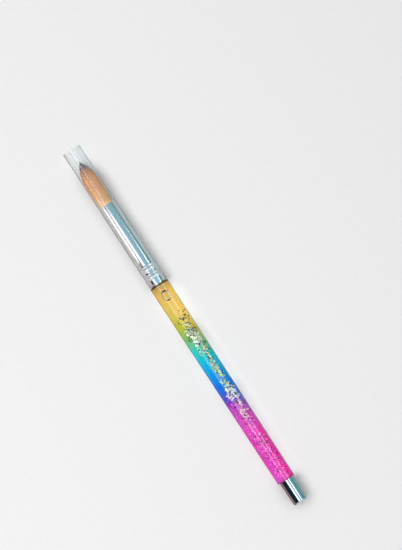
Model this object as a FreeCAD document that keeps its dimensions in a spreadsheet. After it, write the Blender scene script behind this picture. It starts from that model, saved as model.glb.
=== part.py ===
"""Acrylic nail brush with a liquid-glitter handle, lying on its side, in millimetres.

The brush lies along X with its hair towards +X, and Z is up. The origin is on the surface that
it lies on, below the middle of its length. Every piece but the flakes is turned about one axis:
its outline has corners at (station, radius), where a station is the distance along that axis
from the tail end of the brush.
"""

import FreeCAD, Part
import math
import os
import re
import Sketcher

os.makedirs("parts", exist_ok=True)

DIMENSIONS = [
    ("cap_length", 11.5, "tail cap, along the axis"),
    ("cap_radius_end", 3.2, "tail cap, outside, at the tail end"),
    ("cap_radius_open", 3.4, "tail cap, outside, at the handle"),
    ("cap_bore_radius", 2.8, "tail cap, inside"),
    ("cap_end_wall", 0.6, "tail cap, thickness of its closed end"),
    ("cap_edge_round", 0.5, "tail cap, rounding of its end edge"),
    ("handle_length", 103, "acrylic tube of the handle"),
    ("handle_radius_tail", 4.2, "handle, outside, at the tail cap"),
    ("handle_radius_front", 4.5, "handle, outside, at the ferrule"),
    ("handle_edge_round", 0.35, "handle, rounding of both outer edges"),
    ("handle_bore_radius", 3.1, "handle, inside"),
    ("fit_gap", 0.02, "bonded fit: what fills a bore is this much smaller"),
    ("plug_depth", 2.2, "how far each plug goes into the handle's bore"),
    ("stud_radius", 2.76, "tail plug's stud inside the cap"),
    ("stud_end_gap", 0.3, "between the stud and the cap's end wall"),
    ("bubble_half_length", 2.6, "air bubble, along the axis"),
    ("bubble_half_width", 1.75, "air bubble, across"),
    ("bubble_half_depth", 1.3, "air bubble, up and down"),
    ("bubble_rise", 2.0, "air bubble's centre above the axis"),
    ("bubble_setback", 5.6, "air bubble's centre behind the handle's front end"),
    ("ferrule_length", 42.3, "metal ferrule"),
    ("ferrule_radius_rear", 3.6, "ferrule, outside, over its straight collar"),
    ("ferrule_radius_mouth", 3.4, "ferrule, outside, where the hair comes out"),
    ("ferrule_wall", 0.3, "ferrule, sheet thickness"),
    ("ferrule_lip_round", 0.12, "ferrule, rounding of its mouth"),
    ("collar_length", 12.5, "straight rear stretch of the ferrule, over the spigot"),
    ("crimp_first", 4.6, "first crimp's middle, from the shoulder"),
    ("crimp_second", 8.5, "second crimp's middle, from the shoulder"),
    ("crimp_width", 3.2, "crimp, along the axis"),
    ("crimp_arc", 3.93, "crimp, radius of its round bottom"),
    ("crimp_lip_round", 0.3, "crimp, rounding of its edges"),
    ("spigot_length", 12, "front plug's spigot inside the ferrule"),
    ("glue_gap", 0.05, "between the spigot and the ferrule"),
    ("root_depth", 16.8, "how far the hair goes back into the ferrule"),
    ("root_radius", 3.0, "hair bundle inside the ferrule"),
    ("root_glue_length", 3.4, "resin behind the hair root"),
    ("root_glue_radius", 3.14, "resin behind the hair root"),
    ("waist_start", 0.9, "thread's groove, from the root's end"),
    ("waist_radius", 2.6, "hair bundle under its thread"),
    ("thread_radius", 0.22, "thread"),
    ("hair_length", 23.3, "hair, from the ferrule's mouth to the point"),
    ("hair_flare", 0.4, "length over which it spreads over the mouth"),
    ("hair_flare_radius", 3.3, "hair, once it has spread"),
    ("hair_shoulder", 6.5, "where the belly turns into the point, from the point"),
    ("hair_shoulder_radius", 3.15, "hair, there"),
    ("belly_arc", 72, "hair, radius of the belly's long curve"),
    ("point_arc", 22, "hair, radius of the point's curve"),
    ("sleeve_gap", 0.5, "between the sleeve and the handle's shoulder"),
    ("sleeve_length", 71.4, "protective sleeve"),
    ("sleeve_radius", 4.3, "protective sleeve, outside"),
    ("sleeve_wall", 0.25, "protective sleeve, thickness"),
    ("sleeve_edge_round", 0.08, "protective sleeve, rounding of its outer edges"),
    ("flake_thickness", 0.05, "every glitter flake"),
]

THREAD_TURNS = 4

# Glitter: name, count, radius of the hexagon, distance from the axis, first and last station.
FLAKES = [
    ("pearl_flakes", 44, 0.75, 2.45, 44, 92),
    ("gold_flakes", 30, 0.5, 1.8, 41, 96),
    ("dark_flakes", 16, 0.42, 2.75, 24, 103),
    ("pink_glitter", 96, 0.26, 2.8, 14.2, 56),
]
GOLDEN_ANGLE = 180 * (3 - math.sqrt(5))
FLAKE_TILT = 18

doc = FreeCAD.newDocument("NailBrush")
sheet = doc.addObject("Spreadsheet::Sheet", "Sheet")
for row, (alias, size, meaning) in enumerate(DIMENSIONS, start=1):
    sheet.set(f"A{row}", meaning)
    sheet.set(f"B{row}", str(size))
    sheet.setAlias(f"B{row}", alias)
doc.recompute()

# Stations and radii that follow from the driving dimensions, as expressions.
SHOULDER = "(cap_length + handle_length)"
FRONT_PLUG_FACE = f"({SHOULDER} - plug_depth)"
TAIL_PLUG_FACE = "(cap_length + plug_depth)"
COLLAR_END = f"({SHOULDER} + collar_length)"
SPIGOT_END = f"({SHOULDER} + spigot_length)"
MOUTH = f"({SHOULDER} + ferrule_length)"
ROOT = f"({MOUTH} - root_depth)"
THREAD_START = f"({ROOT} + waist_start)"
POINT = f"({MOUTH} + hair_length)"
SLEEVE_START = f"({SHOULDER} + sleeve_gap)"
SLEEVE_END = f"({SLEEVE_START} + sleeve_length)"
FILL_RADIUS = "(handle_bore_radius - fit_gap)"
COLLAR_BORE_RADIUS = "(ferrule_radius_rear - ferrule_wall)"


def value(text):
    """The value of an expression of the driving dimensions."""
    return float(sheet.evalExpression(text))


def bound(text):
    """The same expression for another object, which looks each dimension up in the sheet."""
    return re.sub(r"[a-z_]+", lambda word: "Sheet." + word.group(), text)


def corner(station, radius, arc=None, bulge=None):
    """One corner of an outline. With arc, the edge that leaves it is an arc of that radius,
    which bulges "in" towards the axis or "out" away from it."""
    return {"X": station, "Y": radius, "arc": arc, "bulge": bulge}


def arc_between(start, end, arc_radius, bulge):
    """The arc of a corner's edge, and which of its ends is at the edge's start."""
    chord = end - start
    across = FreeCAD.Vector(-chord.y, chord.x, 0).normalize()
    if (across.y > 0) != (bulge == "in"):
        across = -across
    centre = (start + end) / 2 + across * math.sqrt(arc_radius**2 - (chord.Length / 2) ** 2)
    first = math.atan2(start.y - centre.y, start.x - centre.x)
    last = math.atan2(end.y - centre.y, end.x - centre.x)
    anticlockwise = (last - first) % (2 * math.pi) < math.pi
    circle = Part.Circle(centre, FreeCAD.Vector(0, 0, 1), arc_radius)
    if anticlockwise:
        return Part.ArcOfCircle(circle, first, last), (1, 2)
    return Part.ArcOfCircle(circle, last, first), (2, 1)


def place_on_axis(piece):
    """Puts a piece's own origin, the tail end of the axis, in its place."""
    piece.setExpression("Placement.Base.x", bound(f"-{SLEEVE_END} / 2"))
    piece.setExpression("Placement.Base.z", bound("handle_radius_front"))


def fix_corner(sketch, edge, end, item):
    """Ties an edge's end to a corner's expressions, or to the axis where one of them is 0."""
    for direction, axis_line in (("X", -2), ("Y", -1)):
        if abs(value(item[direction])) < 1e-9:
            sketch.addConstraint(Sketcher.Constraint("PointOnObject", edge, end, axis_line))
            continue
        size = Sketcher.Constraint("Distance" + direction, -1, 1, edge, end, value(item[direction]))
        number = sketch.addConstraint(size)
        sketch.setExpression(f"Constraints[{number}]", bound(item[direction]))


def draw_outline(body, outline):
    """A closed sketch through the corners of an outline, fixed by the driving dimensions."""
    sketch = body.newObject("Sketcher::SketchObject", body.Name + "_outline")
    plane = [f for f in body.Origin.OriginFeatures if f.Role == "XY_Plane"][0]
    sketch.AttachmentSupport = (plane, "")
    sketch.MapMode = "FlatFace"
    points = [FreeCAD.Vector(value(item["X"]), value(item["Y"]), 0) for item in outline]
    ends = []
    for index, item in enumerate(outline):
        start = points[index]
        end = points[(index + 1) % len(points)]
        if item["arc"]:
            shape, own_ends = arc_between(start, end, value(item["arc"]), item["bulge"])
            edge = sketch.addGeometry(shape)
            number = sketch.addConstraint(
                Sketcher.Constraint("Radius", edge, value(item["arc"]))
            )
            sketch.setExpression(f"Constraints[{number}]", bound(item["arc"]))
        else:
            edge = sketch.addGeometry(Part.LineSegment(start, end))
            own_ends = (1, 2)
        ends.append((edge, own_ends))
    for index, item in enumerate(outline):
        edge, own_ends = ends[index]
        edge_before, ends_before = ends[index - 1]
        sketch.addConstraint(
            Sketcher.Constraint("Coincident", edge_before, ends_before[1], edge, own_ends[0])
        )
        fix_corner(sketch, edge, own_ends[0], item)
    return sketch


def turned(name, outline):
    """A body made by turning an outline about the brush's axis."""
    body = doc.addObject("PartDesign::Body", name)
    body.Label = name
    sketch = draw_outline(body, outline)
    turn = body.newObject("PartDesign::Revolution", name + "_turn")
    turn.Profile = sketch
    turn.ReferenceAxis = (sketch, ["H_Axis"])
    turn.Angle = 360
    place_on_axis(body)
    doc.recompute()
    return body


def round_edges(body, rings, size):
    """Rounds a body's ring-shaped edges that lie at the given (station, radius) corners."""
    base = body.Tip
    names = []
    for number, edge in enumerate(base.Shape.Edges, start=1):
        if not isinstance(edge.Curve, Part.Circle):
            continue
        for station, radius in rings:
            off = abs(edge.Curve.Center.x - value(station))
            if off < 1e-4 and abs(edge.Curve.Radius - value(radius)) < 1e-4:
                names.append(f"Edge{number}")
    if len(names) != len(rings):
        raise RuntimeError(f"{body.Name}: {len(names)} edges found for {len(rings)} rings")
    fillet = body.newObject("PartDesign::Fillet", body.Name + "_round")
    fillet.Base = (base, names)
    fillet.setExpression("Radius", bound(size))
    doc.recompute()


def crimp_ends(middle):
    """The two stations where a crimp's groove meets the straight wall."""
    return (
        f"({SHOULDER} + {middle} - crimp_width / 2)",
        f"({SHOULDER} + {middle} + crimp_width / 2)",
    )


def crimped_wall(radius):
    """Corners of a straight wall with both crimps pressed in, in order of station."""
    corners = []
    for middle in ("crimp_first", "crimp_second"):
        near, far = crimp_ends(middle)
        corners.append(corner(near, radius, "crimp_arc", "in"))
        corners.append(corner(far, radius))
    return corners


def backwards(corners):
    """The same corners in the other order, with each arc still between the same two."""
    turned_round = []
    for index in reversed(range(len(corners))):
        before = corners[index - 1] if index else {"arc": None, "bulge": None}
        here = corners[index]
        turned_round.append(corner(here["X"], here["Y"], before["arc"], before["bulge"]))
    return turned_round


def make_handle_tube():
    """Thick acrylic tube, slightly tapered outside, with a straight bore."""
    body = turned(
        "handle_tube",
        [
            corner("cap_length", "handle_bore_radius"),
            corner(SHOULDER, "handle_bore_radius"),
            corner(SHOULDER, "handle_radius_front"),
            corner("cap_length", "handle_radius_tail"),
        ],
    )
    rings = [("cap_length", "handle_radius_tail"), (SHOULDER, "handle_radius_front")]
    round_edges(body, rings, "handle_edge_round")


def make_front_plug():
    """Closes the bore at the front, and carries the ferrule on its grooved spigot."""
    spigot_radius = f"({COLLAR_BORE_RADIUS} - glue_gap)"
    turned(
        "front_plug",
        [
            corner(FRONT_PLUG_FACE, "0"),
            corner(FRONT_PLUG_FACE, FILL_RADIUS),
            corner(SHOULDER, FILL_RADIUS),
            corner(SHOULDER, spigot_radius),
            *crimped_wall(spigot_radius),
            corner(SPIGOT_END, spigot_radius),
            corner(SPIGOT_END, "0"),
        ],
    )


def make_tail_plug():
    """Closes the bore at the tail, and carries the cap on its stud."""
    stud_end = "(cap_end_wall + stud_end_gap)"
    turned(
        "tail_plug",
        [
            corner(stud_end, "0"),
            corner(stud_end, "stud_radius"),
            corner("cap_length", "stud_radius"),
            corner("cap_length", FILL_RADIUS),
            corner(TAIL_PLUG_FACE, FILL_RADIUS),
            corner(TAIL_PLUG_FACE, "0"),
        ],
    )


def make_handle_liquid():
    """Fills the bore between the plugs, but for the air bubble at the top."""
    body = turned(
        "handle_liquid",
        [
            corner(TAIL_PLUG_FACE, "0"),
            corner(TAIL_PLUG_FACE, FILL_RADIUS),
            corner(FRONT_PLUG_FACE, FILL_RADIUS),
            corner(FRONT_PLUG_FACE, "0"),
        ],
    )
    full_volume = body.Shape.Volume
    bubble = body.newObject("PartDesign::SubtractiveEllipsoid", "bubble")
    bubble.setExpression("Radius1", bound("bubble_half_depth"))
    bubble.setExpression("Radius2", bound("bubble_half_length"))
    bubble.setExpression("Radius3", bound("bubble_half_width"))
    bubble.setExpression("Placement.Base.x", bound(f"{SHOULDER} - bubble_setback"))
    bubble.setExpression("Placement.Base.z", bound("bubble_rise"))
    doc.recompute()
    if body.Shape.Volume > full_volume - 5:
        raise RuntimeError("the bubble cut nothing out of the liquid")


def make_ferrule():
    """Thin metal tube: a straight collar with two crimps, then a slight taper to the hair."""
    body = turned(
        "ferrule",
        [
            corner(SHOULDER, "ferrule_radius_rear"),
            *crimped_wall("ferrule_radius_rear"),
            corner(COLLAR_END, "ferrule_radius_rear"),
            corner(MOUTH, "ferrule_radius_mouth"),
            corner(MOUTH, "(ferrule_radius_mouth - ferrule_wall)"),
            corner(COLLAR_END, COLLAR_BORE_RADIUS),
            *backwards(crimped_wall(COLLAR_BORE_RADIUS)),
            corner(SHOULDER, COLLAR_BORE_RADIUS),
        ],
    )
    lips = []
    for middle in ("crimp_first", "crimp_second"):
        for station in crimp_ends(middle):
            lips.append((station, "ferrule_radius_rear"))
    round_edges(body, lips, "crimp_lip_round")
    round_edges(body, [(MOUTH, "ferrule_radius_mouth")], "ferrule_lip_round")


def make_root_glue():
    """Resin cast behind the hair root, which holds the bundle in the ferrule."""
    start = f"({ROOT} - root_glue_length)"
    turned(
        "root_glue",
        [
            corner(start, "0"),
            corner(start, "root_glue_radius"),
            corner(ROOT, "root_glue_radius"),
            corner(ROOT, "0"),
        ],
    )


def make_tie_thread():
    """Thread wound round the hair root, as close turns side by side."""
    inner = "(waist_radius + fit_gap)"
    outer = f"({inner} + thread_radius)"
    width = f"({THREAD_TURNS} * 2 * thread_radius)"
    outline = [corner(THREAD_START, inner)]
    for turn in range(THREAD_TURNS):
        station = f"({THREAD_START} + {turn} * 2 * thread_radius)"
        outline.append(corner(station, outer, "(thread_radius + fit_gap)", "out"))
    outline.append(corner(f"({THREAD_START} + {width})", outer))
    outline.append(corner(f"({THREAD_START} + {width})", inner))
    turned("tie_thread", outline)


def make_hair_bundle():
    """Hair: a tied root inside the ferrule, a full belly outside it and a fine point."""
    waist_end = f"({THREAD_START} + {THREAD_TURNS} * 2 * thread_radius)"
    turned(
        "hair_bundle",
        [
            corner(ROOT, "0"),
            corner(ROOT, "root_radius"),
            corner(f"({THREAD_START} - fit_gap)", "root_radius"),
            corner(f"({THREAD_START} - fit_gap)", "waist_radius"),
            corner(f"({waist_end} + fit_gap)", "waist_radius"),
            corner(f"({waist_end} + fit_gap)", "root_radius"),
            corner(MOUTH, "root_radius"),
            corner(f"({MOUTH} + hair_flare)", "hair_flare_radius", "belly_arc", "out"),
            corner(f"({POINT} - hair_shoulder)", "hair_shoulder_radius", "point_arc", "out"),
            corner(POINT, "0"),
        ],
    )


def make_tail_cap():
    """Metal cap, closed at the tail end, over the tail plug's stud."""
    body = turned(
        "tail_cap",
        [
            corner("0", "0"),
            corner("0", "cap_radius_end"),
            corner("cap_length", "cap_radius_open"),
            corner("cap_length", "cap_bore_radius"),
            corner("cap_end_wall", "cap_bore_radius"),
            corner("cap_end_wall", "0"),
        ],
    )
    round_edges(body, [("0", "cap_radius_end")], "cap_edge_round")


def make_protective_sleeve():
    """Clear thin tube, open at both ends, over the ferrule and the hair."""
    bore_radius = "(sleeve_radius - sleeve_wall)"
    body = turned(
        "protective_sleeve",
        [
            corner(SLEEVE_START, bore_radius),
            corner(SLEEVE_END, bore_radius),
            corner(SLEEVE_END, "sleeve_radius"),
            corner(SLEEVE_START, "sleeve_radius"),
        ],
    )
    rings = [(SLEEVE_START, "sleeve_radius"), (SLEEVE_END, "sleeve_radius")]
    round_edges(body, rings, "sleeve_edge_round")


def make_flakes(name, count, radius, from_axis, first, last):
    """Hexagonal flakes of one kind, spread through the liquid, each a separate solid. Each one
    stands a golden angle round the axis from the last, so that none meets its neighbours."""
    flakes = []
    for number in range(count):
        flake = doc.addObject("Part::Prism", f"{name}_{number}")
        flake.Polygon = 6
        flake.Circumradius = radius
        flake.setExpression("Height", bound("flake_thickness"))
        station = first + (last - first) * (number + 0.5) / count
        about_axis = FreeCAD.Rotation(FreeCAD.Vector(1, 0, 0), number * GOLDEN_ANGLE)
        tilt = FLAKE_TILT * math.sin(5 * number)
        tilted = FreeCAD.Rotation(FreeCAD.Vector(0, 1, 0), tilt)
        spun = FreeCAD.Rotation(FreeCAD.Vector(0, 0, 1), 25 * number)
        outwards = about_axis.multVec(FreeCAD.Vector(0, 0, from_axis))
        position = FreeCAD.Vector(station, 0, 0) + outwards
        flake.Placement = FreeCAD.Placement(position, about_axis * tilted * spun)
        flakes.append(flake)
    group = doc.addObject("Part::Compound", name)
    group.Label = name
    group.Links = flakes
    place_on_axis(group)
    doc.recompute()


make_handle_tube()
make_front_plug()
make_tail_plug()
make_handle_liquid()
for kind in FLAKES:
    make_flakes(*kind)
make_ferrule()
make_root_glue()
make_tie_thread()
make_hair_bundle()
make_tail_cap()
make_protective_sleeve()
doc.recompute()

pieces = [o for o in doc.Objects if o.TypeId in ("PartDesign::Body", "Part::Compound")]
failed = [o.Name for o in doc.Objects if "Invalid" in o.State or "Error" in o.State]
unsound = [o.Name for o in pieces if o.Shape.isNull() or not o.Shape.isValid()]
if failed or unsound:
    raise RuntimeError(f"failed objects {failed}, unsound shapes {unsound}")

for piece in pieces:
    piece.Shape.exportStep(f"parts/{piece.Label}.step")
    box = piece.Shape.BoundBox
    print(
        f"{piece.Label}: {len(piece.Shape.Solids)} solids, {piece.Shape.Volume:.2f} mm3,"
        f" x {box.XMin:.2f}..{box.XMax:.2f}, z {box.ZMin:.2f}..{box.ZMax:.2f}"
    )
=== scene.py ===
"""Looks of the acrylic nail brush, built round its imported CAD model, in metres.

The brush lies along X with its hair towards +X, and Z is up. Pieces that are turned about the
brush's axis come from outlines of (x, radius) points.
"""

import math
import random

import bmesh
import bpy
from mathutils import Matrix, Vector


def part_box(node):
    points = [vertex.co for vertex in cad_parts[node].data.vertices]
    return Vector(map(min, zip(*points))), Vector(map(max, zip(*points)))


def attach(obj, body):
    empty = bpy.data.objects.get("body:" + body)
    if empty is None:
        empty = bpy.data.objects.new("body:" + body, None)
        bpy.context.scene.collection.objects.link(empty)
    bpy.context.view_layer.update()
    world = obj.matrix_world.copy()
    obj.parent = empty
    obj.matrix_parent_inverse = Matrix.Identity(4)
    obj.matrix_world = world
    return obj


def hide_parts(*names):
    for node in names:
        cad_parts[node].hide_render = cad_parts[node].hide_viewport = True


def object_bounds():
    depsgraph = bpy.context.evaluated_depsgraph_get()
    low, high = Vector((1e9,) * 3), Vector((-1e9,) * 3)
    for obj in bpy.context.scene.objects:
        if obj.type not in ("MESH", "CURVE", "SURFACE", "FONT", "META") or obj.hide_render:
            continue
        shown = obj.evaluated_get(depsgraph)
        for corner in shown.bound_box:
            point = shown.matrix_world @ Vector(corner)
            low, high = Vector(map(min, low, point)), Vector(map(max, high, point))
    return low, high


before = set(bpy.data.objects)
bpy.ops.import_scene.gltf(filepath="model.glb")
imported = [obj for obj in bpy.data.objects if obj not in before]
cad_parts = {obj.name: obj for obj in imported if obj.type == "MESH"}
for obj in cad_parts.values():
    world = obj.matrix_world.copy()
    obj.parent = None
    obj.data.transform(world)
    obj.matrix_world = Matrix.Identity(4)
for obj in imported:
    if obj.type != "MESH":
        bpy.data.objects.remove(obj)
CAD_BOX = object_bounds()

MM = 0.001
BRUSH = "brush"
SLEEVE = "sleeve"
SCENE = bpy.context.scene


def ends(node):
    """Where a node starts and stops along the brush."""
    low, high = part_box(node)
    return low.x, high.x


def radius_of(node):
    """The outer radius of a node that is turned about the brush's axis."""
    low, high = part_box(node)
    return min(high.y, -low.y)


HANDLE_LOW, HANDLE_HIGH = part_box("handle_tube")
AXIS_HEIGHT = (HANDLE_LOW.z + HANDLE_HIGH.z) / 2

CAP_END, CAP_FRONT = ends("tail_cap")
HANDLE_BACK, SHOULDER = ends("handle_tube")
LIQUID_BACK, LIQUID_FRONT = ends("handle_liquid")
FERRULE_BACK, MOUTH = ends("ferrule")
HAIR_ROOT, POINT = ends("hair_bundle")
SLEEVE_BACK, SLEEVE_FRONT = ends("protective_sleeve")
THREAD_BACK, THREAD_FRONT = ends("tie_thread")

HANDLE_RADIUS = radius_of("handle_tube")
HANDLE_TAIL_RADIUS = HANDLE_RADIUS - 0.3 * MM
BORE_RADIUS = radius_of("handle_liquid") + 0.02 * MM
FERRULE_RADIUS = radius_of("ferrule")
MOUTH_RADIUS = FERRULE_RADIUS - 0.2 * MM
FERRULE_WALL = 0.3 * MM
COLLAR_LENGTH = 12.5 * MM
CRIMP_PLACES = (4.6 * MM, 8.5 * MM)
CRIMP_WIDTH = 3.2 * MM
CRIMP_DEPTH = 0.34 * MM
CAP_RADIUS = radius_of("tail_cap")
CAP_END_RADIUS = CAP_RADIUS - 0.2 * MM
CAP_BORE_RADIUS = 2.8 * MM
CAP_END_WALL = 0.6 * MM
SLEEVE_RADIUS = radius_of("protective_sleeve")
SLEEVE_WALL = 0.25 * MM
HAIR_LENGTH = POINT - MOUTH

WHITE = (1, 1, 1, 1)


# ---------------------------------------------------------------- meshes


def new_piece(name, vertices, faces, materials, body=BRUSH, closed=True):
    """A mesh object that rides on a body, with its faces turned outwards."""
    mesh = bpy.data.meshes.new(name)
    mesh.from_pydata(vertices, [], faces)
    if closed:
        shell = bmesh.new()
        shell.from_mesh(mesh)
        bmesh.ops.recalc_face_normals(shell, faces=shell.faces)
        shell.to_mesh(mesh)
        shell.free()
    for material in materials:
        mesh.materials.append(material)
    piece = bpy.data.objects.new(name, mesh)
    SCENE.collection.objects.link(piece)
    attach(piece, body)
    return piece


def smooth(piece, sharp_degrees=40):
    """Smooth shading, but for edges sharper than the angle."""
    for face in piece.data.polygons:
        face.use_smooth = True
    piece.data.set_sharp_from_angle(angle=math.radians(sharp_degrees))


def on_ring(x, radius, angle):
    """A point at an angle round the axis, counted from straight up."""
    return (x, radius * math.sin(angle), AXIS_HEIGHT + radius * math.cos(angle))


# How near to a corner the points that hold its shading are, and the shortest stretch with them.
HOLD = 0.05 * MM
LONG_STRETCH = 20 * HOLD
ON_AXIS = 1e-7


def held(outline, is_ring):
    """The outline with a point near both ends of each long stretch, so that the smooth shading
    of its corners doesn't spread along it."""
    corners = outline + outline[:1] if is_ring else outline
    points = []
    for here, there in zip(corners, corners[1:]):
        points.append(here)
        length = math.dist(here, there)
        if length > LONG_STRETCH:
            for share in (HOLD / length, 1 - HOLD / length):
                points.append(tuple(a + (b - a) * share for a, b in zip(here, there)))
    return points if is_ring else points + outline[-1:]


def turned(name, outline, materials, body=BRUSH, segments=144):
    """A piece made by turning an outline of (x, radius) about the axis. An outline that starts
    and ends on the axis makes a solid, and any other is closed into a ring."""
    is_ring = outline[0][1] > ON_AXIS
    vertices = []
    rings = []
    for x, radius in held(outline, is_ring):
        first = len(vertices)
        count = segments if radius > ON_AXIS else 1
        for step in range(count):
            vertices.append(on_ring(x, radius, 2 * math.pi * step / segments))
        rings.append([first + step % count for step in range(segments)])
    faces = []
    last = len(rings) if is_ring else len(rings) - 1
    for index in range(last):
        here = rings[index]
        there = rings[(index + 1) % len(rings)]
        for step in range(segments):
            after = (step + 1) % segments
            loop = [here[step], here[after], there[after], there[step]]
            corners = list(dict.fromkeys(loop))
            if len(corners) > 2:
                faces.append(corners)
    piece = new_piece(name, vertices, faces, materials, body)
    smooth(piece)
    return piece


def round_corner(x, radius, size, start, turn, steps=5):
    """Points of an arc about (x, radius), from the angle start and through turn, in degrees."""
    points = []
    for step in range(steps + 1):
        angle = math.radians(start + turn * step / steps)
        points.append((x + size * math.cos(angle), radius + size * math.sin(angle)))
    return points


# ---------------------------------------------------------------- materials


def linear(code):
    """A six-digit colour code as the shader's numbers."""
    parts = [int(code[place : place + 2], 16) / 255 for place in (0, 2, 4)]
    shades = [p / 12.92 if p <= 0.04045 else ((p + 0.055) / 1.055) ** 2.4 for p in parts]
    return (*shades, 1.0)


class Look:
    """A material, or the world, under construction."""

    def __init__(self, name, is_world=False):
        self.owner = (bpy.data.worlds if is_world else bpy.data.materials).new(name)
        self.owner.use_nodes = True
        self.tree = self.owner.node_tree
        self.tree.nodes.clear()

    def feed(self, socket, value):
        """Gives a socket a number, a colour or another node's output."""
        if isinstance(value, bpy.types.NodeSocket):
            self.tree.links.new(value, socket)
        else:
            socket.default_value = value

    def node(self, kind, settings=None, **inputs):
        """A new node with its own settings, and what feeds its inputs."""
        made = self.tree.nodes.new(kind)
        for key, value in (settings or {}).items():
            setattr(made, key, value)
        for key, value in inputs.items():
            self.feed(made.inputs[key.replace("_", " ")], value)
        return made

    def place(self):
        """Position in the brush's frame."""
        return self.node("ShaderNodeTexCoord").outputs["Object"]

    def stretched(self, along, across):
        """Position with its pattern scales along and across the brush."""
        scale = (along, across, across)
        return self.node("ShaderNodeMapping", Vector=self.place(), Scale=scale).outputs["Vector"]

    def part(self, vector, axis):
        """How far a vector reaches along one axis."""
        return self.node("ShaderNodeSeparateXYZ", Vector=vector).outputs[axis]

    def noise(self, vector, scale=1.0, detail=3.0, roughness=0.5):
        """Cloudy noise from 0 to 1."""
        made = self.node(
            "ShaderNodeTexNoise",
            Vector=vector,
            Scale=scale,
            Detail=detail,
            Roughness=roughness,
        )
        return made.outputs["Fac"]

    def span(self, value, low, high, to_low=0.0, to_high=1.0):
        """The value carried from the range low to high to the range to_low to to_high."""
        made = self.node("ShaderNodeMapRange")
        for socket, given in zip(made.inputs, (value, low, high, to_low, to_high)):
            self.feed(socket, given)
        return made.outputs[0]

    def maths(self, operation, first, second=0):
        """A sum, a product or the like of two numbers."""
        made = self.node("ShaderNodeMath", {"operation": operation})
        for socket, value in zip(made.inputs, (first, second)):
            self.feed(socket, value)
        return made.outputs[0]

    def fade(self, factor, stops):
        """A colour ramp of (place, colour code) stops."""
        made = self.node("ShaderNodeValToRGB", Fac=factor)
        elements = made.color_ramp.elements
        elements[0].position, elements[1].position = stops[0][0], stops[-1][0]
        elements[0].color, elements[1].color = linear(stops[0][1]), linear(stops[-1][1])
        for position, code in stops[1:-1]:
            elements.new(position).color = linear(code)
        return made.outputs["Color"]

    def blend(self, factor, first, second, kind="MIX"):
        """Two colours mixed."""
        made = self.node("ShaderNodeMix", {"data_type": "RGBA", "blend_type": kind})
        # The node has inputs for each kind of data: 6 and 7 are its colours, and so is output 2.
        for number, value in ((0, factor), (6, first), (7, second)):
            self.feed(made.inputs[number], value)
        return made.outputs[2]

    def bump(self, height, distance, strength=1.0):
        """The surface's normal, tilted by a height that stands for this distance at most."""
        made = self.node(
            "ShaderNodeBump", Height=height, Distance=distance, Strength=strength
        )
        return made.outputs["Normal"]

    def shader(self, **inputs):
        """Blender's main surface shader."""
        return self.node("ShaderNodeBsdfPrincipled", **inputs).outputs["BSDF"]

    def clear(self, tint):
        """A surface that light passes straight through, in this tint."""
        return self.node("ShaderNodeBsdfTransparent", Color=tint).outputs["BSDF"]

    def lets_light_in(self, shader, tint):
        """The shader, but lamps shine through it in this tint."""
        is_shadow = self.node("ShaderNodeLightPath").outputs["Is Shadow Ray"]
        return self.mixed(is_shadow, shader, self.clear(tint))

    def mixed(self, factor, first, second):
        """Two shaders mixed."""
        made = self.node("ShaderNodeMixShader")
        for socket, value in zip(made.inputs, (factor, first, second)):
            self.feed(socket, value)
        return made.outputs[0]

    def done(self, shader, output="ShaderNodeOutputMaterial"):
        """The finished material or world, with this shader as its surface."""
        self.node(output, Surface=shader)
        return self.owner


# The handle's colour over a white surface, from the ferrule to the tail cap, on its left side
# and on its right.
RAINBOW_LEFT = (
    (0.00, "e8ba5c"),
    (0.14, "e2c45c"),
    (0.24, "bcc834"),
    (0.29, "78cc84"),
    (0.35, "1ce0dc"),
    (0.43, "0cb2f0"),
    (0.53, "0a78f0"),
    (0.59, "4c5ce0"),
    (0.61, "9434d8"),
    (0.64, "dc5ce8"),
    (0.74, "f85cdc"),
    (1.00, "ff54ec"),
)
RAINBOW_RIGHT = (
    (0.00, "eabc4c"),
    (0.14, "f4c658"),
    (0.22, "d0b43c"),
    (0.29, "80b46c"),
    (0.35, "1cb4b0"),
    (0.43, "0c8cc8"),
    (0.53, "0c70d4"),
    (0.59, "7c60cc"),
    (0.645, "cc50c8"),
    (0.74, "ff38c8"),
    (0.84, "ff1cb4"),
    (1.00, "ff0c94"),
)


# How far the colours shift along the brush for each step across it, and how far they waver.
COLOUR_SLANT = 0.8
COLOUR_WAVER = 2.2 * MM


def rainbow(look):
    """The handle's colour, which changes a little sooner on one side of the brush."""
    place = look.place()
    across = look.part(place, "Y")
    drift = look.maths("MULTIPLY", across, COLOUR_SLANT)
    along = look.maths("SUBTRACT", look.part(place, "X"), drift)
    waves = look.noise(place, scale=260.0, detail=2.0)
    along = look.maths("ADD", along, look.span(waves, 0, 1, -COLOUR_WAVER, COLOUR_WAVER))
    share = look.span(along, SHOULDER, HANDLE_BACK)
    side = look.span(across, 1.5 * MM, -2.5 * MM)
    return look.blend(side, look.fade(share, RAINBOW_LEFT), look.fade(share, RAINBOW_RIGHT))


def tinted(look, share):
    """The rainbow tint of one surface that carries this share of the handle's whole colour."""
    return look.node("ShaderNodeGamma", Color=rainbow(look), Gamma=share).outputs["Color"]


# How much of the handle's whole colour is on each surface of the tube, and of what fills it.
TUBE_SHARE = 0.07
CORE_SHARE = 0.43


def facing_ends(look, low, high):
    """0 on faces turned sideways and 1 on faces turned towards either end of the brush."""
    facing = look.node("ShaderNodeTexCoord").outputs["Normal"]
    return look.span(look.maths("ABSOLUTE", look.part(facing, "X")), low, high)


def core_tint(look):
    """The tint of what fills the bore, which shows once on the way in and once on the way out."""
    tint = tinted(look, CORE_SHARE)
    sides = look.blend(facing_ends(look, 0.4, 0.6), tint, WHITE)
    is_shadow = look.node("ShaderNodeLightPath").outputs["Is Shadow Ray"]
    return look.blend(is_shadow, sides, WHITE)


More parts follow.
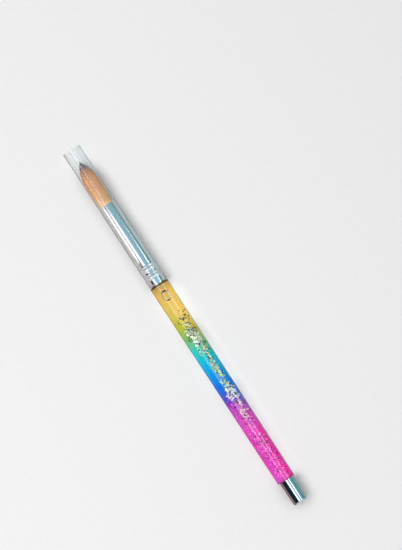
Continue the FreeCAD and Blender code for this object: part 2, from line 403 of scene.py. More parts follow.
# Lamps that shine through the tube get brighter by this tint at each surface. It stands for the
# light that a real rod gathers.
ROD_GLOW = (1.14, 1.14, 1.14, 1)


def make_acrylic():
    """Clear acrylic with a faint tint. Most of the colour is in the liquid it holds."""
    look = Look("rainbow_acrylic")
    tint = tinted(look, TUBE_SHARE)
    wear = look.noise(look.stretched(90, 900), scale=1.0, detail=4.0)
    glass = look.shader(
        Base_Color=tint,
        Transmission_Weight=1.0,
        IOR=1.49,
        Roughness=look.span(wear, 0.4, 0.8, 0.0, 0.02),
        Coat_Weight=0.5,
        Coat_Roughness=0.12,
        Normal=look.bump(look.noise(look.stretched(60, 240)), 0.004 * MM, 0.1),
    )
    return look.done(look.lets_light_in(glass, ROD_GLOW))


def make_bore_wall():
    """The inside of the tube, which the liquid's like index hides but for a faint haze."""
    look = Look("wetted_bore_wall")
    haze = look.shader(Base_Color=linear("fff4fb"), Roughness=0.4)
    specks = look.noise(look.stretched(400, 1200), scale=1.0, detail=5.0)
    return look.done(look.mixed(look.span(specks, 0.6, 0.8, 0.0, 0.03), look.clear(WHITE), haze))


def make_cut_face():
    """The tube's end faces: a deeper shade of the colour next to them, with painted shade of
    the gaps at the ferrule and the cap, darkest towards the ferrule and at the rim.
    """
    look = Look("end_faces_painted_gap_shade")
    saw = look.noise(look.place(), scale=2600.0, detail=4.0)
    deep = tinted(look, 1.6)
    # Painted shade: the faces turn near-black towards the ferrule and at the rim, for the shadowed gaps
    # where the tube meets the ferrule and the cap.
    dark = look.span(look.part(look.place(), "X"), HANDLE_BACK, SHOULDER, 0.6, 0.97)
    rim = look.span(facing_ends(look, 0.9, 0.99), 0, 1, 1.0, 0.25)
    dark = look.maths("MULTIPLY", dark, rim)
    dark = look.maths("MULTIPLY", dark, look.span(saw, 0.3, 0.7, 0.85, 1))
    shader = look.shader(
        Base_Color=look.blend(dark, deep, linear("1c0c06")),
        Roughness=look.span(saw, 0.2, 0.8, 0.35, 0.6),
        Normal=look.bump(saw, 0.02 * MM, 0.4),
    )
    return look.done(shader)


def make_handle():
    """Thick tube with a slight taper, rounded at both outer edges."""
    edge = 0.4 * MM
    outline = [(HANDLE_BACK, BORE_RADIUS), (SHOULDER, BORE_RADIUS)]
    outline += round_corner(SHOULDER - edge, HANDLE_RADIUS - edge, edge, 0, 90)
    outline += round_corner(HANDLE_BACK + edge, HANDLE_TAIL_RADIUS - edge, edge, 90, 90)
    materials = [make_acrylic(), make_bore_wall(), make_cut_face()]
    bore_wall, cut_face = 1, 2
    slack = 0.01 * MM
    least_turn_to_end = 0.1
    piece = turned("acrylic_tube", outline, materials)
    for face in piece.data.polygons:
        from_axis = math.hypot(face.center.y, face.center.z - AXIS_HEIGHT)
        if from_axis < BORE_RADIUS + slack:
            face.material_index = bore_wall
        elif abs(face.normal.x) > least_turn_to_end:
            face.material_index = cut_face
    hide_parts("handle_tube")


# Where the specks start to fade and where they are gone, from the liquid's tail end.
SHIMMER_FULL = 38 * MM
SHIMMER_GONE = 50 * MM


def shimmering(look, shader):
    """The shader with fine specks over it in the pink part."""
    cells = look.node("ShaderNodeTexVoronoi", Vector=look.place(), Scale=3400.0)
    grain = look.blend(cells.outputs["Color"], tinted(look, 1.4), tinted(look, 0.45))
    speck = look.shader(Base_Color=grain, Roughness=0.4, Specular_IOR_Level=0.3)
    gone, full = LIQUID_BACK + SHIMMER_GONE, LIQUID_BACK + SHIMMER_FULL
    along = look.span(look.part(look.place(), "X"), gone, full)
    near = look.span(cells.outputs["Distance"], 0.3, 0.2)
    share = look.maths("MULTIPLY", along, near)
    return look.mixed(look.maths("MULTIPLY", share, 0.3), shader, speck)


def make_liquid_look():
    """Dyed liquid that bends light as the acrylic does, with a fine shimmer in its pink part."""
    look = Look("dyed_liquid")
    return look.done(shimmering(look, look.clear(core_tint(look))))


# Big flakes float in a trough along the top of the dyed liquid, nearer to one side. Angles
# are counted from straight up, and are positive towards +Y.
TROUGH_LEFT = math.radians(62)
TROUGH_RIGHT = math.radians(-92)
TROUGH_DEPTH = 1.0 * MM
LIQUID_GAP = 0.01 * MM


def dyed_radius(angle):
    """The dyed liquid's radius at an angle round the axis."""
    angle = math.remainder(angle, 2 * math.pi)
    share = (angle - TROUGH_RIGHT) / (TROUGH_LEFT - TROUGH_RIGHT)
    dip = math.sin(math.pi * share) ** 0.7 if 0 < share < 1 else 0
    return radius_of("handle_liquid") - LIQUID_GAP - TROUGH_DEPTH * dip


def make_liquid():
    """The dyed liquid between the two plugs, with the trough along its top."""
    segments = 120
    vertices = []
    for x in (LIQUID_BACK + LIQUID_GAP, LIQUID_FRONT - LIQUID_GAP):
        for step in range(segments):
            angle = 2 * math.pi * step / segments
            vertices.append(on_ring(x, dyed_radius(angle), angle))
    faces = [list(range(segments)), list(range(segments, 2 * segments))]
    for step in range(segments):
        after = (step + 1) % segments
        faces.append([step, after, segments + after, segments + step])
    piece = new_piece("dyed_liquid_fill", vertices, faces, [make_liquid_look()])
    smooth(piece, 60)
    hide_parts("handle_liquid")


BUBBLE_CENTRE = Vector((SHOULDER - 6.2 * MM, 0, AXIS_HEIGHT + 1.72 * MM))
BUBBLE_HALF_SIZE = Vector((2.6 * MM, 1.6 * MM, 1.28 * MM))


def make_bubble_look():
    """The skin between the liquid and its bubble, with painted shade at both ends, where a bubble's rim
    looks dark.
    """
    look = Look("air_bubble")
    skin = look.noise(look.place(), scale=900.0, detail=2.0)
    film = look.shader(
        # Painted shade: the skin turns near-black where it faces either end of the brush.
        Base_Color=look.blend(facing_ends(look, 0.68, 0.8), linear("fbfdff"), linear("1a1208")),
        Transmission_Weight=1.0,
        IOR=1.45,
        Roughness=look.span(skin, 0.3, 0.8, 0.0, 0.02),
    )
    faint_shade = (0.96, 0.96, 0.96, 1)
    return look.done(look.lets_light_in(film, faint_shade))


def make_bubble():
    """Air bubble at the top of the bore. Its faces point into it, because it is the air and
    what lies round it is the liquid."""
    rows, columns = 28, 48
    vertices = []
    for row in range(rows + 1):
        polar = math.pi * row / rows
        # The ends are blunter than an ellipsoid's.
        reach = math.copysign(abs(math.cos(polar)) ** 0.8, math.cos(polar))
        girth = math.sin(polar) ** 0.9 if 0 < row < rows else 0
        for column in range(columns if girth else 1):
            turn = 2 * math.pi * column / columns
            way = Vector((reach, girth * math.sin(turn), girth * math.cos(turn)))
            vertices.append(BUBBLE_CENTRE + way * BUBBLE_HALF_SIZE)
    faces = []
    for row in range(rows):
        for column in range(columns):
            after = (column + 1) % columns
            upper = 1 + (row - 1) * columns
            lower = upper + columns
            if row == 0:
                faces.append([0, 1 + column, 1 + after])
            elif row == rows - 1:
                faces.append([upper + column, len(vertices) - 1, upper + after])
            else:
                faces.append([upper + column, lower + column, lower + after, upper + after])
    piece = new_piece("air_bubble", vertices, faces, [make_bubble_look()])
    piece.data.flip_normals()
    smooth(piece, 180)


def make_joint_look():
    """Dyed acrylic of the plugs, cemented in, so its faces show only as a thin haze."""
    look = Look("cemented_acrylic")
    clear = look.clear(core_tint(look))
    clouds = look.noise(look.place(), scale=1500.0, detail=4.0)
    haze = look.shader(
        Base_Color=look.blend(clouds, tinted(look, CORE_SHARE), linear("fff8ec")),
        Roughness=look.span(clouds, 0.2, 0.8, 0.25, 0.5),
        Normal=look.bump(clouds, 0.03 * MM, 0.4),
    )
    cloudy = look.mixed(look.span(clouds, 0.4, 0.75, 0.01, 0.08), clear, haze)
    return look.done(shimmering(look, cloudy))


# ---------------------------------------------------------------- glitter


def hexagon(centre, normal, spin, radius, thickness):
    """Corners of a thin six-sided plate."""
    turn = normal.to_track_quat("Z", "X") @ Matrix.Rotation(spin, 3, "Z").to_quaternion()
    corners = []
    for side in (-0.5, 0.5):
        for step in range(6):
            angle = math.pi * step / 3
            flat = Vector((radius * math.cos(angle), radius * math.sin(angle), side * thickness))
            corners.append(centre + turn @ flat)
    return corners


FILM = 0.035 * MM
HEXAGON_FACES = [[5, 4, 3, 2, 1, 0], [6, 7, 8, 9, 10, 11]] + [
    [step, (step + 1) % 6, 6 + (step + 1) % 6, 6 + step] for step in range(6)
]


def glitter_look(name, metal, roughness, film, gloss=0.5):
    """Cut metallised film: each flake's own colour, with fine streaks."""
    look = Look(name)
    tint = look.node("ShaderNodeAttribute", {"attribute_name": "tint"}).outputs["Color"]
    streaks = look.noise(look.place(), scale=5200.0, detail=3.0)
    shade = look.blend(look.span(streaks, 0.3, 0.8, 0.0, 0.25), tint, linear("6c6c6c"), "ADD")
    shader = look.shader(
        Base_Color=shade,
        Metallic=metal,
        Roughness=look.span(streaks, 0.2, 0.8, roughness, roughness + 0.2),
        Specular_IOR_Level=gloss,
        Normal=look.bump(streaks, 0.02 * MM, 0.3),
        Thin_Film_Thickness=film,
        Thin_Film_IOR=1.5,
    )
    return look.done(shader)


def clustered(clusters, middle):
    """A place along the brush, an angle round it and a tint, from one of the clusters. A cluster
    is its distance from the tail end and its spread in millimetres, its share of the flakes, how
    far they scatter round the axis from the middle, in degrees, and its tints."""
    chosen = random.choices(clusters, weights=[cluster[2] for cluster in clusters])[0]
    distance, spread, _, bell, tints = chosen
    x = CAP_END + random.gauss(distance, spread) * MM
    return x, random.gauss(middle, bell), linear(random.choice(tints))


# The room that flakes leave at the wall of the bore, and for the bubble at the front.
WALL_ROOM = 0.04 * MM
BUBBLE_ROOM = 9 * MM
# The least that a flake's middle is under that wall, in millimetres.
LEAST_DEPTH = 0.03


def make_glitter(name, seed, count, sizes, clusters, band, depth, lean, look):
    """Hexagonal flakes under the wall of the bore, one piece for each kind. sizes are their
    radii and depth is how far under the wall they float, in millimetres. band is their middle
    angle round the axis and the angles they stop at, and lean how far they tip, in degrees."""
    random.seed(seed)
    vertices = []
    faces = []
    colours = []
    wall = BORE_RADIUS - WALL_ROOM
    middle, right_end, left_end = band
    while len(colours) < count:
        radius = random.uniform(*sizes) * MM
        x, degrees, tint = clustered(clusters, middle)
        if not right_end < degrees < left_end:
            continue
        angle = math.radians(degrees)
        from_axis = wall - random.uniform(LEAST_DEPTH, depth) * MM
        tip = math.radians(random.uniform(-lean, lean))
        roll = math.radians(random.uniform(-lean, lean)) + angle
        normal = Vector((math.sin(tip), math.cos(tip) * math.sin(roll), math.cos(tip) * math.cos(roll)))
        centre = Vector(on_ring(x, from_axis, angle))
        corners = hexagon(centre, normal, random.uniform(0, math.pi), radius, FILM)
        highest = max(math.hypot(c.y, c.z - AXIS_HEIGHT) for c in corners)
        if highest > wall or not LIQUID_BACK + radius < x < LIQUID_FRONT - BUBBLE_ROOM:
            continue
        first = len(vertices)
        vertices += corners
        faces += [[first + corner for corner in face] for face in HEXAGON_FACES]
        colours.append(tint)
    piece = new_piece(name, vertices, faces, [look], closed=False)
    layer = piece.data.color_attributes.new("tint", "FLOAT_COLOR", "CORNER")
    for face in piece.data.polygons:
        for corner in face.loop_indices:
            layer.data[corner].color = colours[face.index // len(HEXAGON_FACES)]
    return piece


MINT = ("fcfffc", "dcf8ec", "f0fcfc", "c8f0dc", "fdfdee")
LIME = ("d2dc40", "bcd030", "dce27c", "a4c44c", "e8e694")
PALE_GREEN = ("dcecb4", "e6f0c8", "c8e0a0", "f4f6e0")
LAVENDER = ("fafafc", "ece4fc", "dcecfc", "f4f4dc", "e0d0f8")
PEACH = ("fce8e0", "f8d8e4", "fcf0dc", "f4ccec")
TEAL_DARK = ("062026", "0a2c34", "102410", "08141c", "04100c")
NAVY_DARK = ("081838", "061024", "10240c", "0c2838")
PLUM_DARK = ("50083c", "3c0828", "640c48", "44081c")
BROWN_DARK = ("1c0e04", "100a04", "142010")
PINKS = ("fc34c4", "ff58d4", "fc28b8", "ffa0e8", "ffb8f0", "c0148c")
HOT_PINKS = ("ff2098", "ff148c", "ff44b0", "e81084")


def make_all_glitter():
    """Pearl, gold and dark flakes in loose clusters, and fine pink glitter towards the tail."""
    pale = (
        (89.5, 2.0, 0.18, 26, MINT),
        (83.5, 2.4, 0.40, 32, MINT),
        (78.5, 1.3, 0.14, 34, MINT),
        (70.0, 3.8, 0.18, 13, PALE_GREEN),
        (61.5, 1.2, 0.12, 22, PALE_GREEN),
        (56.0, 2.0, 0.34, 30, LAVENDER),
        (47.0, 3.6, 0.30, 17, PEACH),
        (28.0, 11.0, 0.16, 50, PINKS),
    )
    bright = (
        (91.0, 2.0, 0.12, 20, LIME),
        (84.0, 3.0, 0.14, 30, LIME),
        (79.3, 1.2, 0.22, 34, LIME),
        (69.5, 4.0, 0.34, 13, LIME),
        (58.5, 2.6, 0.20, 22, LIME),
    )
    deep = (
        (95.5, 2.0, 0.16, 24, BROWN_DARK),
        (90.0, 1.6, 0.16, 28, TEAL_DARK),
        (83.0, 3.0, 0.36, 32, TEAL_DARK),
        (70.5, 4.5, 0.24, 16, NAVY_DARK),
        (57.0, 3.0, 0.24, 30, NAVY_DARK),
        (46.0, 4.0, 0.32, 34, PLUM_DARK),
        (28.0, 9.0, 0.48, 55, PLUM_DARK),
    )
    fine = (
        (22.0, 9.0, 0.6, 60, PINKS),
        (36.0, 8.0, 0.4, 60, PINKS),
        (50.0, 4.0, 0.1, 60, PINKS),
    )
    hot = (
        (22.0, 7.0, 0.3, 50, HOT_PINKS),
        (36.0, 6.0, 0.7, 50, HOT_PINKS),
    )
    pearl = glitter_look("pearl_film", 0.1, 0.25, 420.0)
    gold = glitter_look("gold_film", 0.25, 0.3, 300.0)
    dusk = glitter_look("dark_film", 0.0, 0.5, 0.0, 0.12)
    pink = glitter_look("pink_film", 0.0, 0.5, 350.0)
    top = (-20, -80, 52)
    left = (40, -60, 180)
    right = (-75, -170, -20)
    drifts = (
        # name, seed, count, sizes, clusters, band, depth, lean, look
        make_glitter("pearl_drift", 3, 190, (0.36, 0.78), pale, top, 0.8, 38, pearl),
        make_glitter("gold_drift", 5, 100, (0.3, 0.55), bright, top, 0.7, 42, gold),
        make_glitter("dark_drift", 7, 290, (0.18, 0.44), deep, top, 0.4, 34, dusk),
        make_glitter("pink_drift", 11, 900, (0.12, 0.33), fine, left, 0.5, 45, pink),
    )
    nodes = ("pearl_flakes", "gold_flakes", "dark_flakes", "pink_glitter")
    for drift, node in zip(drifts, nodes):
        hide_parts(node)
    make_glitter("hot_pink_drift", 13, 220, (0.1, 0.3), hot, right, 0.5, 45, pink)


# ---------------------------------------------------------------- metal


def make_chrome():
    """Polished plating with faint rub marks along and round the brush."""
    look = Look("polished_chrome")
    rubs = look.noise(look.stretched(150, 2600), scale=1.0, detail=4.0)
    pits = look.noise(look.place(), scale=2400.0, detail=2.0)
    shader = look.shader(
        Base_Color=look.blend(pits, linear("e6eaec"), linear("f2f4f5")),
        Metallic=1.0,
        Roughness=look.span(rubs, 0.3, 0.8, 0.06, 0.12),
        Normal=look.bump(rubs, 0.001 * MM, 0.15),
    )
    return look.done(shader)


def crimped(x, radius):
    """The collar's radius at x, with its two crimps pressed in."""
    for place in CRIMP_PLACES:
        off = abs(x - SHOULDER - place)
        if off < CRIMP_WIDTH / 2:
            dip = 0.5 + 0.5 * math.cos(2 * math.pi * off / CRIMP_WIDTH)
            return radius - CRIMP_DEPTH * dip
    return radius


def collar_stations(steps=72):
    """Points along the collar, close enough for the crimps to be round."""
    return [FERRULE_BACK + COLLAR_LENGTH * step / steps for step in range(steps + 1)]


def make_ferrule(chrome):
    """Plated tube with two crimps, a slight taper and a rolled mouth."""
    lip = 0.14 * MM
    bore = FERRULE_RADIUS - FERRULE_WALL
    outside = [(x, crimped(x, FERRULE_RADIUS)) for x in collar_stations()]
    inside = [(x, crimped(x, bore)) for x in collar_stations()]
    mouth = round_corner(MOUTH - lip, MOUTH_RADIUS - lip, lip, 90, -90)
    mouth += [(MOUTH, MOUTH_RADIUS - FERRULE_WALL)]
    piece = turned("ferrule_shell", outside + mouth + inside[::-1], [chrome])
    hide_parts("ferrule")


def make_cap(chrome):
    """Plated cap, closed and rounded at the tail."""
    edge = 0.5 * MM
    rim = 0.1 * MM
    outline = [(CAP_END, 0), (CAP_END, CAP_END_RADIUS - edge)]
    outline += round_corner(CAP_END + edge, CAP_END_RADIUS - edge, edge, 180, -90, 8)
    outline += round_corner(CAP_FRONT - rim, CAP_RADIUS - rim, rim, 90, -90)
    outline += [(CAP_FRONT, CAP_BORE_RADIUS)]
    outline += [(CAP_END + CAP_END_WALL, CAP_BORE_RADIUS), (CAP_END + CAP_END_WALL, 0)]
    piece = turned("tail_cap_shell", outline, [chrome])
    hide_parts("tail_cap")


# ---------------------------------------------------------------- hair

BELLY_RADIUS = 3.82 * MM
BELLY_FROM_POINT = 11.5 * MM
# How much thinner than its belly the bundle gets towards the ferrule, and the length over which
# it then spreads from the mouth, where it has a little play.
BACK_TAPER = 0.42 * MM
MOUTH_SPREAD = 0.5 * MM
MOUTH_PLAY = 0.06 * MM


def hair_radius(x):
    """The bundle's radius: a full belly, and a parabola down to the point."""
    to_point = POINT - x
    if to_point < BELLY_FROM_POINT:
        return BELLY_RADIUS * (1 - (1 - max(to_point, 0) / BELLY_FROM_POINT) ** 2)
    back = (to_point - BELLY_FROM_POINT) / (HAIR_LENGTH - BELLY_FROM_POINT)
    radius = BELLY_RADIUS - BACK_TAPER * min(back, 1) ** 2
    out = min(max((x - MOUTH) / MOUTH_SPREAD, 0), 1)
    mouth = MOUTH_RADIUS - FERRULE_WALL - MOUTH_PLAY
    return mouth + (radius - mouth) * out * (2 - out)


def hair_colour(look, x):
    """Amber at the belly, mauve-brown and then dark grey at the point."""
    share = look.span(x, MOUTH, POINT)
    return look.fade(
        share,
        (
            (0.00, "ffd098"),
            (0.30, "ffce8d"),
            (0.55, "f9bf83"),
            (0.72, "dfa171"),
            (0.79, "a3796f"),
            (0.86, "625c62"),
            (1.00, "404248"),
        ),
    )


def make_hair_look(name, dark):
    """Hair with streaks along it, and dark is how strongly they darken it. Each single hair
    has its own shade, which also shifts where its colours start."""
    look = Look(name)
    shade = look.node("ShaderNodeAttribute", {"attribute_name": "strand"}).outputs["Fac"]
    reach = 1.1 * MM
    shift = look.span(shade, 0, 1, -reach, reach)
    base = hair_colour(look, look.maths("ADD", look.part(look.place(), "X"), shift))
    streaks = look.noise(look.stretched(130, 5200), scale=1.0, detail=3.0)
    tone = look.maths("ADD", look.span(streaks, 0.3, 0.7, -0.2, 0.2), shade)
    colour = look.blend(
        look.span(tone, 0.0, 1.0, 0.0, dark), base, linear("a87c5c"), "MULTIPLY"
    )
    shader = look.shader(
        Base_Color=colour,
        Roughness=look.span(streaks, 0.2, 0.8, 0.32, 0.5),
        Specular_IOR_Level=0.25,
        Sheen_Weight=0.1,
        Normal=look.bump(streaks, 0.05 * MM, 0.4),
    )
    return look.done(shader)


def make_hair_core():
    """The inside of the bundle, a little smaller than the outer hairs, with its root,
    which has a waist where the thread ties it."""
    fullness = 0.93
    root_radius = 2.9 * MM
    edge = 0.3 * MM
    waist_depth = 0.32 * MM
    margin = 0.1 * MM
    waist_start = THREAD_BACK - margin
    waist_length = THREAD_FRONT + margin - waist_start
    waist_steps, steps = 8, 40
    outline = [(HAIR_ROOT, 0)]
    outline += round_corner(HAIR_ROOT + edge, root_radius - edge, edge, 180, -90)
    for step in range(waist_steps + 1):
        x = waist_start + waist_length * step / waist_steps
        dip = math.sin(math.pi * step / waist_steps) ** 0.4
        outline.append((x, root_radius - waist_depth * dip))
    outline.append((MOUTH, hair_radius(MOUTH)))
    for step in range(1, steps):
        x = MOUTH + HAIR_LENGTH * step / steps
        outline.append((x, fullness * hair_radius(x)))
    outline.append((POINT - margin, 0))
    return turned("hair_core", outline, [make_hair_look("packed_hair", 0.8)], segments=96)


def make_hair_strands():
    """Single hairs, each following the bundle's shape from the ferrule to its own end."""
    random.seed(21)
    count = 1500
    rings = 9
    sides = 3
    # Shares of the bundle's radius, squared, shares of its length, an angle in radians, radii in
    # millimetres, and how much of its thickness a hair loses by its end.
    squared_depths = (0.42, 1.0)
    short_reaches = (0.72, 0.99)
    most_wander = 0.12
    thicknesses = (0.05, 0.085)
    thinning = 0.86
    vertices = []
    faces = []
    shades = []
    golden = math.pi * (3 - math.sqrt(5))
    start = MOUTH - 0.8 * MM
    for number in range(count):
        depth = math.sqrt(random.uniform(*squared_depths))
        turn = number * golden
        reach = random.choice((1.0, 1.0, random.uniform(*short_reaches)))
        end = MOUTH + HAIR_LENGTH * reach
        wander = random.uniform(-most_wander, most_wander)
        thick = random.uniform(*thicknesses) * MM
        first = len(vertices)
        for ring in range(rings):
            along = ring / (rings - 1)
            x = start + (end - start) * along
            angle = turn + wander * math.sin(3 * along + number)
            radius = max(depth * hair_radius(x) - thick, 0)
            centre = Vector(on_ring(x, radius, angle))
            size = thick * (1 - thinning * along**3)
            for side in range(sides):
                about = 2 * math.pi * side / sides + angle
                vertices.append(centre + Vector((0, size * math.sin(about), size * math.cos(about))))
        for ring in range(rings - 1):
            for side in range(sides):
                here = first + ring * sides
                after = (side + 1) % sides
                faces.append([here + side, here + after, here + sides + after, here + sides + side])
        faces.append([first + side for side in reversed(range(sides))])
        faces.append([first + (rings - 1) * sides + side for side in range(sides)])
        shades += [random.random()] * ((rings - 1) * sides + 2)
    piece = new_piece(
        "hair_strands", vertices, faces, [make_hair_look("single_hairs", 0.55)], closed=False
    )
    strand = piece.data.attributes.new("strand", "FLOAT", "FACE")
    strand.data.foreach_set("value", shades)
    for face in piece.data.polygons:
        face.use_smooth = True
    return piece


def make_hair():
    """The bundle: its packed inside and the single hairs over it."""
    core = make_hair_core()
    strands = make_hair_strands()
    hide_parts("hair_bundle")


# ---------------------------------------------------------------- hidden pieces


def make_thread_look():
    """Waxed cotton thread with its twist."""
    look = Look("waxed_thread")
    twist = look.node(
        "ShaderNodeTexWave", Vector=look.stretched(1, 1), Scale=900.0, Distortion=3.0
    ).outputs["Fac"]
    shader = look.shader(
        Base_Color=look.blend(twist, linear("cfc6b0"), linear("efe9da")),
        Roughness=look.span(twist, 0, 1, 0.55, 0.75),
        Sheen_Weight=0.3,
        Normal=look.bump(twist, 0.05 * MM, 0.6),
    )
    return look.done(shader)


def make_thread():
    """One thread wound four times round the hair root."""
    turns = 4
    thick = 0.2 * MM
    steps, sides = 48 * turns, 10
    lay = (THREAD_FRONT - THREAD_BACK - 2 * thick) / turns
    from_axis = radius_of("tie_thread") - thick
    vertices = []
    for step in range(steps + 1):
        turn = 2 * math.pi * turns * step / steps
        x = THREAD_BACK + thick + lay * turns * step / steps
        for side in range(sides):
            about = 2 * math.pi * side / sides
            radius = from_axis + thick * math.cos(about)
            vertices.append(on_ring(x + thick * math.sin(about), radius, turn))
    faces = [list(range(sides)), [steps * sides + side for side in range(sides)]]
    for step in range(steps):
        for side in range(sides):
            after = (side + 1) % sides
            here = step * sides
            faces.append([here + side, here + after, here + sides + after, here + sides + side])
    piece = new_piece("wound_thread", vertices, faces, [make_thread_look()])
    smooth(piece, 60)
    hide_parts("tie_thread")


def make_resin_look():
    """Amber resin with small bubbles."""
    look = Look("amber_resin")
    bubbles = look.node("ShaderNodeTexVoronoi", Vector=look.place(), Scale=2200.0)
    spots = look.span(bubbles.outputs["Distance"], 0.1, 0.5)
    shader = look.shader(
        Base_Color=look.blend(spots, linear("e8cf96"), linear("b98a44")),
        Roughness=look.span(spots, 0, 1, 0.12, 0.3),
        Transmission_Weight=0.35,
        IOR=1.52,
        Normal=look.bump(spots, 0.05 * MM, 0.3),
    )
    return look.done(shader)


def repaint(node, material):
    """A CAD node that keeps its shape gets a better material."""
    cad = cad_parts[node]
    cad.data.materials.clear()
    cad.data.materials.append(material)


# ---------------------------------------------------------------- sleeve


def make_sleeve_look():
    """Clear plastic with faint lines along it from drawing."""
    look = Look("clear_sleeve")
    lines = look.noise(look.stretched(25, 1500), scale=1.0, detail=3.0)
    plastic = look.shader(
        Base_Color=linear("fefefe"),
        Transmission_Weight=1.0,
        IOR=1.46,
        Roughness=look.span(lines, 0.3, 0.8, 0.0, 0.02),
        Coat_Weight=1.0,
        Coat_Roughness=0.15,
        Normal=look.bump(lines, 0.002 * MM, 0.1),
    )
    return look.done(look.lets_light_in(plastic, WHITE))


def make_sleeve():
    """Clear drawn tube, open at both ends, with rounded rims."""
    rim = 0.08 * MM
    bore = SLEEVE_RADIUS - SLEEVE_WALL
    outline = [(SLEEVE_BACK, bore), (SLEEVE_FRONT, bore)]
    outline += round_corner(SLEEVE_FRONT - rim, SLEEVE_RADIUS - rim, rim, 0, 90, 3)
    outline += round_corner(SLEEVE_BACK + rim, SLEEVE_RADIUS - rim, rim, 90, 90, 3)
    piece = turned("clear_sleeve_tube", outline, [make_sleeve_look()], SLEEVE)
    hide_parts("protective_sleeve")


# ---------------------------------------------------------------- studio

# The brush's point is this far to the left of straight up in the picture.
VIEW_TURN = math.radians(33.07)
ELEVATION = math.radians(84)
DISTANCE = 0.9
PICTURE_HEIGHT = 244.4 * MM
# The middle of the picture, from the middle of the brush.
AIM = Vector((14.6 * MM, -17.97 * MM, AXIS_HEIGHT))


def make_camera():
    """Almost straight above the brush, a long way off."""
    up_page = Vector((math.cos(VIEW_TURN), -math.sin(VIEW_TURN), 0))
    back = Vector((0, 0, math.sin(ELEVATION))) - up_page * math.cos(ELEVATION)
    right = Vector((-math.sin(VIEW_TURN), -math.cos(VIEW_TURN), 0))
    up = back.cross(right)
    lens = bpy.data.cameras.new("camera")
    lens.sensor_width = 36
    lens.lens = lens.sensor_width * DISTANCE / PICTURE_HEIGHT
    camera = bpy.data.objects.new("camera", lens)
    axes = Matrix((right, up, back)).transposed()
    camera.matrix_world = Matrix.Translation(AIM + back * DISTANCE) @ axes.to_4x4()
    SCENE.collection.objects.link(camera)
    SCENE.camera = camera


# How much of the floor's painted darker reflection is lost when it comes out through clear plastic.
LOST_THROUGH_PLASTIC = 0.65


def make_paper():
    """Plain pale paper with a painted reflection: mirrors show it in darker colours, dusky to the
    left of the brush and teal to its right."""
    look = Look("pale_paper_painted_reflection")
    fibre = look.noise(look.place(), scale=420.0, detail=5.0)
    paper = look.blend(fibre, linear("e9e9e9"), linear("eeeeee"))
    left = look.span(look.part(look.place(), "Y"), -1 * MM, 1 * MM)
    # Painted reflection: reflections of the paper get these darker colours in place of its own.
    painted_reflection_colour = look.blend(left, linear("6ea6ae"), linear("84706c"))
    path = look.node("ShaderNodeLightPath").outputs
    reflected = look.span(path["Glossy Depth"], 0, 1)
    fainter = look.maths("MULTIPLY", path["Is Transmission Ray"], LOST_THROUGH_PLASTIC)
    mirrored = look.maths("SUBTRACT", reflected, fainter)
    shader = look.shader(
        Base_Color=look.blend(mirrored, paper, painted_reflection_colour),
        Roughness=0.7,
        Specular_IOR_Level=0.2,
        Normal=look.bump(fibre, 0.04 * MM, 0.15),
    )
    return look.done(shader)


def make_floor():
    """A wide sheet of the paper, just under the brush."""
    half = 2.0
    height = CAD_BOX[0].z - 0.02 * MM
    signs = ((-1, -1), (1, -1), (1, 1), (-1, 1))
    mesh = bpy.data.meshes.new("floor")
    mesh.from_pydata([(x * half, y * half, height) for x, y in signs], [], [[0, 1, 2, 3]])
    mesh.materials.append(make_paper())
    floor = bpy.data.objects.new("floor", mesh)
    SCENE.collection.objects.link(floor)


def make_lamp(name, start, end, width, radiance):
    """A soft strip from start to end that faces the brush."""
    middle = (start + end) / 2
    lamp = bpy.data.lights.new(name, "AREA")
    lamp.shape = "RECTANGLE"
    lamp.size = (end - start).length
    lamp.size_y = width
    lamp.energy = radiance * math.pi * lamp.size * lamp.size_y
    along = (end - start).normalized()
    back = middle - Vector((0, 0, AXIS_HEIGHT))
    back = (back - along * back.dot(along)).normalized()
    axes = Matrix((along, back.cross(along), back)).transposed()
    holder = bpy.data.objects.new(name, lamp)
    holder.matrix_world = Matrix.Translation(middle) @ axes.to_4x4()
    SCENE.collection.objects.link(holder)
    return holder


def light_surfaces(name, start, end, width, radiance):
    """A lamp that lights surfaces. Its light through the clear pieces counts once, in full."""
    lamp = make_lamp(name, Vector(start), Vector(end), width, radiance)
    lamp.visible_glossy = False
    lamp.visible_transmission = False
    lamp.data.cycles.use_multiple_importance_sampling = False


def draw_reflection(name, start, end, width, radiance, through_sleeve=False):
    """A lamp that shows only in reflections."""
    lamp = make_lamp(name, Vector(start), Vector(end), width, radiance)
    lamp.visible_diffuse = False
    lamp.visible_transmission = through_sleeve
    return lamp


def make_lamps():
    """A soft key to the left and a wide fill overhead light the surfaces. The others draw the
    lines on gloss and chrome: each shows at the stretch of the brush that it is named after."""
    light_surfaces("key", (-0.4, 0.55, 0.9), (0.5, 0.55, 0.9), 0.5, 3.6)
    light_surfaces("fill", (-1.5, 0, 1.5), (1.5, 0, 1.5), 3.0, 1.0)
    high = 0.6
    draw_reflection("cap_left", (-0.11, 0.07, high), (-0.16, 0.07, high), 0.16, 1.2)
    draw_reflection("cap_right", (-0.11, -0.335, high), (-0.16, -0.375, high), 0.2, 1.2)
    draw_reflection("handle_left", (-0.1, 0.018, high), (0.084, 0.368, high), 0.15, 2.1)
    draw_reflection("handle_right", (-0.1, -0.309, high), (0.088, -0.446, high), 0.17, 2.6)
    draw_reflection("ferrule_left", (0.083, 0.385, high), (0.172, 0.385, high), 0.43, 1.3, True)
    draw_reflection("ferrule_right", (0.088, -0.5, high), (0.165, -0.77, high), 0.06, 1.5, True)
    draw_reflection("ferrule_card", (0.11, 0.62, 0.19), (0.165, 0.62, 0.19), 0.32, 1.8, True)
    blue = draw_reflection("collar_card", (0.079, -0.15, high), (0.087, -0.15, high), 0.6, 0.6, True)
    blue.data.color = (0.08, 0.36, 1.0)
    draw_reflection("hair_left", (0.153, 0.188, high), (0.215, 0.188, high), 0.08, 4.0)
    draw_reflection("hair_card", (0.168, 0.62, 0.37), (0.22, 0.62, 0.37), 0.14, 3.0)


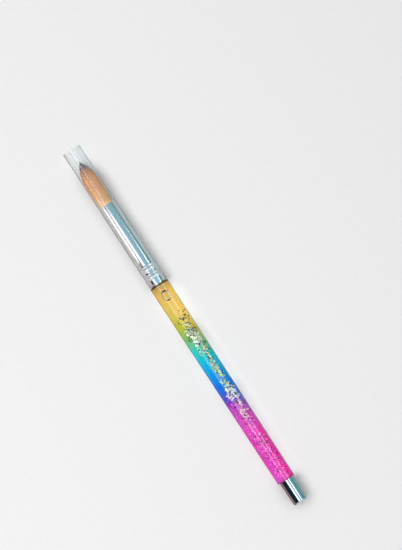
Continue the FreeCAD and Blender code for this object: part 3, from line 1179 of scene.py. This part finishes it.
def make_world():
    """Pale behind the object. Mirrors show a cool room that is dark to the left, clear pieces
    show a pale blue-grey through them, and surfaces get a dim grey light."""
    look = Look("studio", is_world=True)
    way = look.node("ShaderNodeTexCoord").outputs["Generated"]
    ahead, aside = look.part(way, "X"), look.part(way, "Y")
    room = look.fade(
        look.span(aside, -1, 1),
        (
            (0.0, "566260"),
            (0.03, "6c9098"),
            (0.1, "7cb4c0"),
            (0.45, "98bcc8"),
            (0.62, "92b6c6"),
            (0.70, "2c4c78"),
            (0.85, "0c1420"),
            (1.0, "181c24"),
        ),
    )
    # The room is white towards both ends of the brush, and sooner the further to the side.
    off_middle = look.maths("ABSOLUTE", ahead)
    sideways = look.maths("MULTIPLY", look.maths("ABSOLUTE", aside), 0.33)
    far = look.span(look.maths("ADD", off_middle, sideways), 0.5, 0.6)
    room = look.blend(far, room, linear("fafcff"))
    path = look.node("ShaderNodeLightPath").outputs
    mirrored = look.span(path["Glossy Depth"], 0, 1)
    passed_on = look.maths("SUBTRACT", path["Is Glossy Ray"], mirrored)
    seen = look.blend(mirrored, linear("f0f1f3"), room)
    seen = look.blend(look.span(passed_on, 0, 1), seen, linear("b4c4ce"))
    seen = look.blend(look.span(path["Diffuse Depth"], 0, 1), seen, linear("5c5c5e"))
    background = look.node("ShaderNodeBackground", Color=seen, Strength=1.0).outputs[0]
    SCENE.world = look.done(background, "ShaderNodeOutputWorld")


def set_up_light_paths():
    """Plain colours, and enough bounces for the clear pieces inside one another."""
    SCENE.view_settings.view_transform = "Standard"
    SCENE.cycles.max_bounces = 20
    SCENE.cycles.transmission_bounces = 20
    SCENE.cycles.transparent_max_bounces = 40
    SCENE.cycles.sample_clamp_indirect = 4.0
    SCENE.cycles.caustics_reflective = False
    SCENE.cycles.caustics_refractive = True


make_camera()
make_handle()
make_liquid()
make_bubble()
make_all_glitter()
chrome = make_chrome()
make_ferrule(chrome)
make_cap(chrome)
make_hair()
make_thread()
repaint("root_glue", make_resin_look())
joint = make_joint_look()
repaint("front_plug", joint)
repaint("tail_plug", joint)
make_sleeve()
make_floor()
make_lamps()
make_world()
set_up_light_paths()
